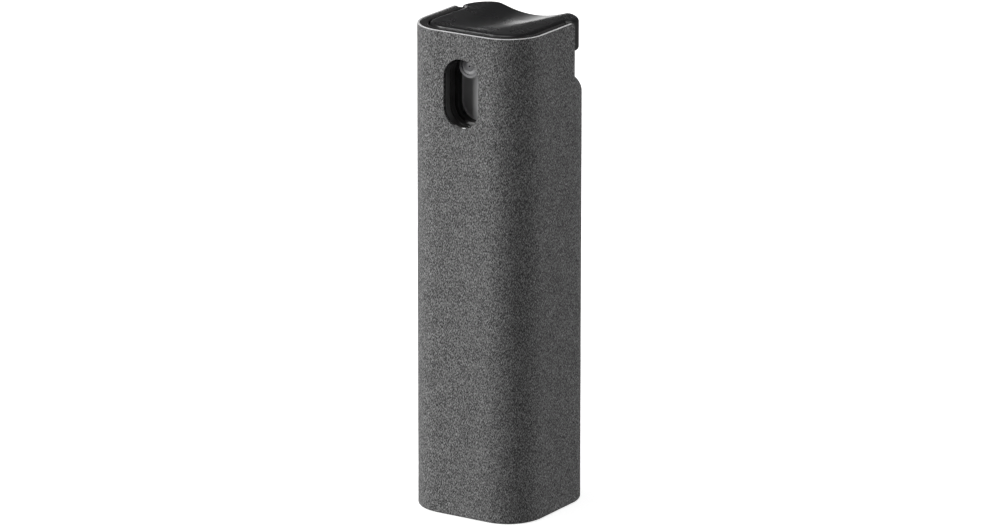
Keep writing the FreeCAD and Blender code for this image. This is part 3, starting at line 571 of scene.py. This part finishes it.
# ---------------------------------------------------------------- case shell
def make_shell():
    """The gloss shell inside the sleeve, with softened rim, slot and step edges."""
    outline, normals = rounded_box(HALF_X, HALF_Y, CORNER, 0.4)
    top, foot = SHELL_HIGH[2], SHELL_LOW[2]
    outer, inner = WRAP, INNER
    lip = 0.18
    floor = foot + SHELL_FLOOR
    profile = [(outer + 0.3, foot), (outer, foot + 0.3)]
    knee = STEP_Z - STEP_ROUND
    ledge_top = ledge_end(STEP_ROUND - outer)[1]
    profile += [(outer, height) for height in np.linspace(foot + 4, knee, 10)]
    profile += [(outer, height) for height in np.linspace(knee, ledge_top, 14)[1:]]
    profile += [(outer, height) for height in np.linspace(ledge_top, top - 0.5, 5)[1:]]
    profile += [(outer, top - 0.08), (outer + 0.03, top - 0.02), (outer + 0.1, top)]
    profile += [(inner - lip + lip * math.sin(a), top - lip + lip * math.cos(a))
                for a in np.radians((0, 30, 60, 90))]
    profile += [(inner, height) for height in np.linspace(top - 4, floor + 1, 12)]
    profile += [(inner, floor - 0.4), (inner + 0.2, floor - 0.6), (inner + 0.2, foot)]
    shell = swept("glossy_case_shell", outline, normals, profile)
    plate_outline = outline - (outer + 0.35) * normals
    carve(shell, prism("floor_plate", plate_outline, foot + 0.01, floor), "UNION")
    carve(shell, step_tool(ledge_top, top))
    carve(shell, slot_tool(0.0))
    mouth = stadium(SLOT_HALF_WIDTH + 0.16, SLOT_HALF_HEIGHT + 0.16, SLOT_Z)
    throat = stadium(SLOT_HALF_WIDTH - 0.01, SLOT_HALF_HEIGHT - 0.01, SLOT_Z)
    front = -(HALF_Y - WRAP)
    rings = [facing_front(mouth, front - 1), facing_front(mouth, front - 0.02),
             facing_front(throat, front + 0.16)]
    carve(shell, stack("mouth_tool", rings))
    write_points(shell, bend_ledge(read_points(shell), ledge_top, INNER - 0.1))
    shade(shell, 35)
    shell.data.materials.append(GLOSS_BLACK)
    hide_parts("case_shell")
    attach(shell, "case")


# ---------------------------------------------------------------- press head
RUN = 40                                  # points along a straight side; the front and back have two fewer


def between(start, end, count=RUN):
    """Evenly spaced values between two ends, without the ends."""
    return np.linspace(start, end, count + 2)[1:-1]


def head_outline(inset, step=0.25):
    """The head's plan, narrow in front and wide behind the step, drawn in by an inset."""
    side, wide = HEAD_SIDE - inset, HEAD_WIDE - inset
    front, rear, ledge = HEAD_FRONT + inset, HEAD_REAR - inset, HEAD_LEDGE + inset
    front_round = CORNER - (HALF_X - HEAD_SIDE) - inset
    rear_round = min(HEAD_CORNER - inset, rear - ledge - 0.1)
    turns = max(6, round(front_round * math.pi / 2 / step))
    right = [arc((side - front_round, front + front_round), front_round, 270, 360, turns)]
    right.append(np.column_stack((np.full(RUN, side), between(front + front_round, ledge))))
    right.append(np.array(((side, ledge), ((side + wide) / 2, ledge), (wide, ledge))))
    turns = max(6, round(rear_round * math.pi / 2 / step))
    right.append(arc((wide - rear_round, rear - rear_round), rear_round, 0, 90, turns))
    right = np.vstack(right)
    left = right[::-1] * (-1, 1)
    rear_end, front_end = wide - rear_round, side - front_round
    rear_run = np.column_stack((between(rear_end, -rear_end, RUN - 2), np.full(RUN - 2, rear)))
    front_run = np.column_stack((between(-front_end, front_end, RUN - 2), np.full(RUN - 2, front)))
    return np.vstack((right, rear_run, left, front_run))


def distance_to(points, outline):
    """The distance from each point to a closed outline."""
    starts, ends = outline, np.roll(outline, -1, axis=0)
    run = ends - starts
    length = np.maximum((run ** 2).sum(1), 1e-12)
    share = (((points[:, None] - starts) * run).sum(2) / length).clip(0, 1)
    nearest = starts + share[..., None] * run
    return np.sqrt(((points[:, None] - nearest) ** 2).sum(2)).min(1)


def top_height(points, outline):
    """The head's upper surface: a slope with a soft-edged thumb dish and rounded edges."""
    x, y = points[:, 0], points[:, 1]
    slope = HEAD_TOP - HEAD_FALL * (y - HEAD_FRONT) / (HEAD_REAR - HEAD_FRONT)
    run = HEAD_REAR - HEAD_FRONT - DISH_START
    deepest = DISH_DEPTH * (y - HEAD_FRONT - DISH_START) / run
    below = deepest - (DISH_RADIUS - np.sqrt(DISH_RADIUS ** 2 - x ** 2))
    dish = (below + np.sqrt(below ** 2 + DISH_SOFT ** 2)) / 2
    dish *= np.clip((y - HEAD_FRONT) / DISH_START, 0, 1) ** 2
    near = np.minimum(distance_to(points, outline), EDGE_ROUND)
    fall = EDGE_ROUND - np.sqrt(EDGE_ROUND ** 2 - (EDGE_ROUND - near) ** 2)
    return slope - dish - fall


def make_head():
    """The press head as one piece: top, skirt, front apron, nozzle recess and grip collar."""
    outline = head_outline(0.0)
    middle = np.array((0.0, HEAD_LEDGE - SPOKE_SHIFT))
    spokes = outline - middle
    reach = np.sqrt((spokes ** 2).sum(1))[:, None]
    foot = 0.25                           # chamfer under the skirt
    rings = [upright(outline - spokes / reach * foot, SKIRT_Z),
             upright(outline - spokes / reach * foot * 0.3, SKIRT_Z + foot * 0.3),
             upright(outline, SKIRT_Z + foot)]
    edge = top_height(outline, outline)
    for share in (0.3, 0.6, 0.85):
        rings.append(np.column_stack((outline, SKIRT_Z + foot + share * (edge - SKIRT_Z - foot))))
    inward = [EDGE_ROUND * (1 - math.cos(a)) for a in np.radians(np.linspace(0, 90, 9))]
    inward += [0.8, 1.1, 1.5]
    for gap in inward:
        ring = outline - spokes / reach * gap
        rings.append(np.column_stack((ring, top_height(ring, outline))))
    shares = 1 - np.linspace(0, 1, 44)[1:-1]
    base = outline - spokes / reach * inward[-1] - middle
    for share in shares:
        ring = middle + base * share
        rings.append(np.column_stack((ring, top_height(ring, outline))))
    head = stack("satin_press_head", rings)

    front_round = CORNER - (HALF_X - HEAD_SIDE)
    side = HEAD_SIDE - 0.004
    front = HEAD_FRONT + 0.004
    apron = np.vstack((
        arc((side - front_round, front + front_round), front_round, 270, 360, 24),
        np.array(((side, APRON_BACK), (-side, APRON_BACK))),
        arc((front_round - side, front + front_round), front_round, 180, 270, 24)))
    apron[:, 1] = np.minimum(apron[:, 1], APRON_BACK)
    carve(head, prism("apron", apron, APRON_Z, SKIRT_Z + 1.2), "UNION")

    hollow = head_outline(HEAD_WALL)
    hollow[:, 1] = np.maximum(hollow[:, 1], APRON_BACK)
    carve(head, prism("hollow", hollow, SKIRT_Z - 0.5, HEAD_UNDER))

    bore_radius = HUB_RADIUS + HUB_GAP
    circle = arc((0, 0), bore_radius + GRIP_WALL, 0, 360, 97)[:-1]
    carve(head, prism("grip", circle, HEAD_UNDER - GRIP_DEPTH, HEAD_UNDER + 0.5), "UNION")
    bore = arc((0, 0), bore_radius, 0, 360, 97)[:-1]
    carve(head, prism("bore", bore, HEAD_UNDER - GRIP_DEPTH - 0.5, HEAD_UNDER))
    way = ARM_RADIUS + ARM_GAP
    gate = np.array(((-way, APRON_BACK), (way, APRON_BACK), (way, 0.0), (-way, 0.0)))
    carve(head, prism("arm_gate", gate, HEAD_UNDER - GRIP_DEPTH - 0.5, HEAD_UNDER))

    chamfer = 0.10
    floor = HEAD_FRONT + RECESS
    deep = floor + RECESS_INNER
    mouth = stadium(SLOT_HALF_WIDTH + chamfer, SLOT_HALF_HEIGHT + chamfer, SLOT_Z)
    wall = stadium(SLOT_HALF_WIDTH, SLOT_HALF_HEIGHT, SLOT_Z)
    rings = [facing_front(mouth, HEAD_FRONT - 1), facing_front(mouth, HEAD_FRONT),
             facing_front(wall, HEAD_FRONT + chamfer), facing_front(wall, floor)]
    carve(head, stack("outer_recess", rings))
    inner_width, inner_height = SLOT_HALF_WIDTH - RECESS_STEP, SLOT_HALF_HEIGHT - RECESS_STEP
    lip_mouth = stadium(inner_width + 0.06, inner_height + 0.06, SLOT_Z)
    inner_wall = stadium(inner_width, inner_height, SLOT_Z)
    rings = [facing_front(lip_mouth, HEAD_FRONT - 1), facing_front(lip_mouth, floor),
             facing_front(inner_wall, floor + 0.08), facing_front(inner_wall, deep - FLOOR_FILLET)]
    for angle in np.radians((22.5, 45, 67.5, 90)):
        draw_in = RECESS_STEP + FLOOR_FILLET * (1 - math.cos(angle))
        ring = stadium(SLOT_HALF_WIDTH - draw_in, SLOT_HALF_HEIGHT - draw_in, SLOT_Z)
        rings.append(facing_front(ring, deep - FLOOR_FILLET * (1 - math.sin(angle))))
    carve(head, stack("inner_recess", rings))
    hole = arc((0, NOZZLE_Z), way, 0, 360, 73)[:-1]
    carve(head, stack("arm_hole", [facing_front(hole, HEAD_FRONT - 1), facing_front(hole, APRON_BACK + 1)]))
    shade(head, 32)
    for material in (SATIN_BLACK, RECESS_FLOOR, GLOSS_BLACK):
        head.data.materials.append(material)
    for face in head.data.polygons:
        place = face.center / MM
        in_slot = abs(place.x) < SLOT_HALF_WIDTH and abs(place.z - SLOT_Z) < SLOT_HALF_HEIGHT
        at_floor = deep - FLOOR_FILLET < place.y < deep + 0.02 and face.normal.y < -0.05
        at_wall = HEAD_FRONT < place.y < floor + 0.1
        face.material_index = (1 if at_floor else 2 if at_wall else 0) if in_slot else 0
    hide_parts("press_head")
    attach(head, "head")


# ---------------------------------------------------------------- nozzle
def make_nozzle():
    """The nozzle insert: a flat face with a faint ring and the spray hole."""
    face, back = -INSERT_LOW[1], -INSERT_HIGH[1]
    radius = INSERT_HIGH[0]
    hole, swirl = 0.14, 0.9
    profile = [(radius, back), (radius, face - 0.05), (radius - 0.05, face)]
    profile += [(0.95, face), (0.93, face - 0.015), (0.89, face - 0.015), (0.87, face)]
    profile += [(0.2, face), (hole, face - 0.06), (hole, face - 0.6), (swirl, face - 0.62), (swirl, back)]
    rings = [facing_front(arc((0, NOZZLE_Z), r, 0, 360, 73)[:-1], -d) for r, d in profile]
    insert = closed_ring("spray_nozzle_insert", rings)
    shade(insert, 40)
    insert.data.materials.append(NOZZLE_GREY)
    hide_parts("nozzle_insert")
    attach(insert, "head")


# ---------------------------------------------------------------- return spring
def make_spring():
    """The return spring as a wire coil; the real spring shortens as the head is pressed."""
    low, high = node_box("return_spring")
    wire, turns, around, per_turn = 0.27, 8.0, 14, 36
    radius = high[0] - wire
    foot, top = low[2] + wire, high[2] - wire
    section = np.linspace(0, 2 * math.pi, around, endpoint=False)
    across, rise = np.cos(section), np.sin(section)
    rings = []
    for step in range(int(turns * per_turn) + 1):
        share = step / (turns * per_turn)
        angle = 2 * math.pi * turns * share
        outward = np.array((math.cos(angle), math.sin(angle), 0.0))
        middle = outward * radius + (0, 0, foot + share * (top - foot))
        rings.append(middle + wire * (across[:, None] * outward + rise[:, None] * (0, 0, 1)))
    spring = stack("return_spring_coil", rings)
    shade(spring, 60)
    spring.data.materials.append(SPRING_STEEL)
    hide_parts("return_spring")
    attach(spring, "pump_unit")
    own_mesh(spring)


# ---------------------------------------------------------------- carried-over CAD pieces
def dress_cad(node, material, width=0.0):
    """Give a CAD piece its material and, where asked, softened edges."""
    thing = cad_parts[node]
    thing.data.materials.clear()
    thing.data.materials.append(material)
    if width:
        bevel = thing.modifiers.new("soft_edges", "BEVEL")
        bevel.width = width * MM
        bevel.segments = 2
        bevel.limit_method = "ANGLE"
        bevel.angle_limit = math.radians(40)
        bevel.harden_normals = True


make_sleeve()
make_base_patch()
make_shell()
make_head()
make_nozzle()
make_spring()
for node, material, width in (
        ("bottle", BOTTLE_CLEAR, 0.0),
        ("collar_cover", COLLAR_BLACK, 0.12),
        ("screw_closure", CLOSURE_BLACK, 0.1),
        ("neck_gasket", GASKET, 0.05),
        ("pump_housing", PUMP_WHITE, 0.06),
        ("pump_turret", PUMP_WHITE, 0.06),
        ("stem_seal", RUBBER, 0.05),
        ("dip_tube", TUBE_CLEAR, 0.0),
        ("check_ball", BALL_STEEL, 0.0),
        ("pump_stem", STEM_WHITE, 0.05),
        ("piston", PISTON_NATURAL, 0.04),
        ("poppet", STEM_WHITE, 0.05),
        ("spray_actuator", ACTUATOR_GREY, 0.05)):
    dress_cad(node, material, width)


# ---------------------------------------------------------------- studio
CAMERA_AZIMUTH, CAMERA_ELEVATION = math.radians(32.776), math.radians(16.092)
CAMERA_DISTANCE = 1.24704
CAMERA_ROLL = math.radians(0.038)
LENS_MM, SENSOR_MM = 255.27, 36.0
AIM_HEIGHT, AIM_SIDE = 0.043812, 0.000081
FLOOR_RADIUS = 3000                       # millimetres

SOFTBOXES = (
    # name, azimuth and elevation in degrees, distance, width and height in metres, watts
    ("key_left", -36, 14, 0.8, 0.4, 0.6, 7.9),
    ("fill_right", 122, 14, 0.8, 0.3, 0.5, 3.5),
    ("top_soft", -30, 80, 0.8, 0.4, 0.4, 1.2),
    ("edge_glint", -78, 52, 0.8, 0.25, 0.16, 1.5),
    ("horizon_back", 215, 1, 0.5, 0.2, 0.11, 0.13))


def direction(azimuth, elevation):
    """The unit vector from the object towards a viewer or light, in radians."""
    return Vector((math.sin(azimuth) * math.cos(elevation), -math.cos(azimuth) * math.cos(elevation),
                   math.sin(elevation)))


def make_camera():
    data = bpy.data.cameras.new("studio_camera")
    data.lens, data.sensor_width = LENS_MM, SENSOR_MM
    data.clip_start, data.clip_end = 0.05, 20
    camera = bpy.data.objects.new("studio_camera", data)
    bpy.context.scene.collection.objects.link(camera)
    back = direction(CAMERA_AZIMUTH, CAMERA_ELEVATION)
    right = Vector((math.cos(CAMERA_AZIMUTH), math.sin(CAMERA_AZIMUTH), 0))
    target = Vector((0, 0, AIM_HEIGHT)) + right * AIM_SIDE
    up = back.cross(right)
    turn = Matrix((right, up, back)).transposed().to_4x4() @ Matrix.Rotation(CAMERA_ROLL, 4, "Z")
    camera.matrix_world = Matrix.Translation(target + back * CAMERA_DISTANCE) @ turn
    bpy.context.scene.camera = camera


def softbox(name, azimuth, elevation, distance, width, height, power):
    """An area light aimed at the middle of the object."""
    data = bpy.data.lights.new(name, "AREA")
    data.shape = "RECTANGLE"
    data.size, data.size_y, data.energy = width, height, power
    light = bpy.data.objects.new(name, data)
    bpy.context.scene.collection.objects.link(light)
    way = direction(math.radians(azimuth), math.radians(elevation))
    light.location = Vector((0, 0, AIM_HEIGHT)) + way * distance
    light.rotation_mode = "QUATERNION"
    light.rotation_quaternion = way.to_track_quat("Z", "Y")
    light.visible_camera = False


def bright_to_the_eye(tree, seen, dim):
    """One shader for what the camera sees directly, another for what the object is lit by."""
    path = add_node(tree, "ShaderNodeLightPath")
    mix = add_node(tree, "ShaderNodeMixShader")
    tree.links.new(path.outputs["Is Camera Ray"], mix.inputs[0])
    tree.links.new(dim, mix.inputs[1])
    tree.links.new(seen, mix.inputs[2])
    return mix.outputs[0]


def make_floor():
    ring = arc((0, 0), FLOOR_RADIUS, 0, 360, 129)[:-1]
    floor = to_mesh("studio_floor", upright(ring, 0.0), [tuple(range(len(ring)))])
    material, tree, shader = new_material("studio_floor_white")
    place = add_node(tree, "ShaderNodeTexCoord").outputs["Object"]
    tone = noise_texture(tree, place, scale=3)
    tree.links.new(ramp(tree, tone, (0.0, grey(0.88)), (1.0, grey(0.92))), shader.inputs["Base Color"])
    set_values(shader, Roughness=0.9, Specular_IOR_Level=0.1, Emission_Strength=0.75)
    shader.inputs["Emission Color"].default_value = (1, 1, 1, 1)
    dim = add_node(tree, "ShaderNodeBsdfDiffuse")
    dim.inputs["Color"].default_value = (*grey(0.16), 1)
    out = tree.nodes["Material Output"]
    tree.links.new(bright_to_the_eye(tree, shader.outputs[0], dim.outputs[0]), out.inputs["Surface"])
    floor.data.materials.append(material)


def make_world():
    """White to the eye, dim as a light, so that the softboxes shape the object."""
    world = bpy.data.worlds.new("studio_world")
    bpy.context.scene.world = world
    world.use_nodes = True
    tree = world.node_tree
    tree.nodes.clear()
    seen = add_node(tree, "ShaderNodeBackground")
    seen.inputs["Color"].default_value = (1, 1, 1, 1)
    dim = add_node(tree, "ShaderNodeBackground")
    dim.inputs["Color"].default_value = (0.055, 0.055, 0.057, 1)
    out = add_node(tree, "ShaderNodeOutputWorld")
    tree.links.new(bright_to_the_eye(tree, seen.outputs[0], dim.outputs[0]), out.inputs["Surface"])


make_camera()
make_floor()
make_world()
for settings in SOFTBOXES:
    softbox(*settings)
bpy.context.scene.view_settings.view_transform = "Standard"
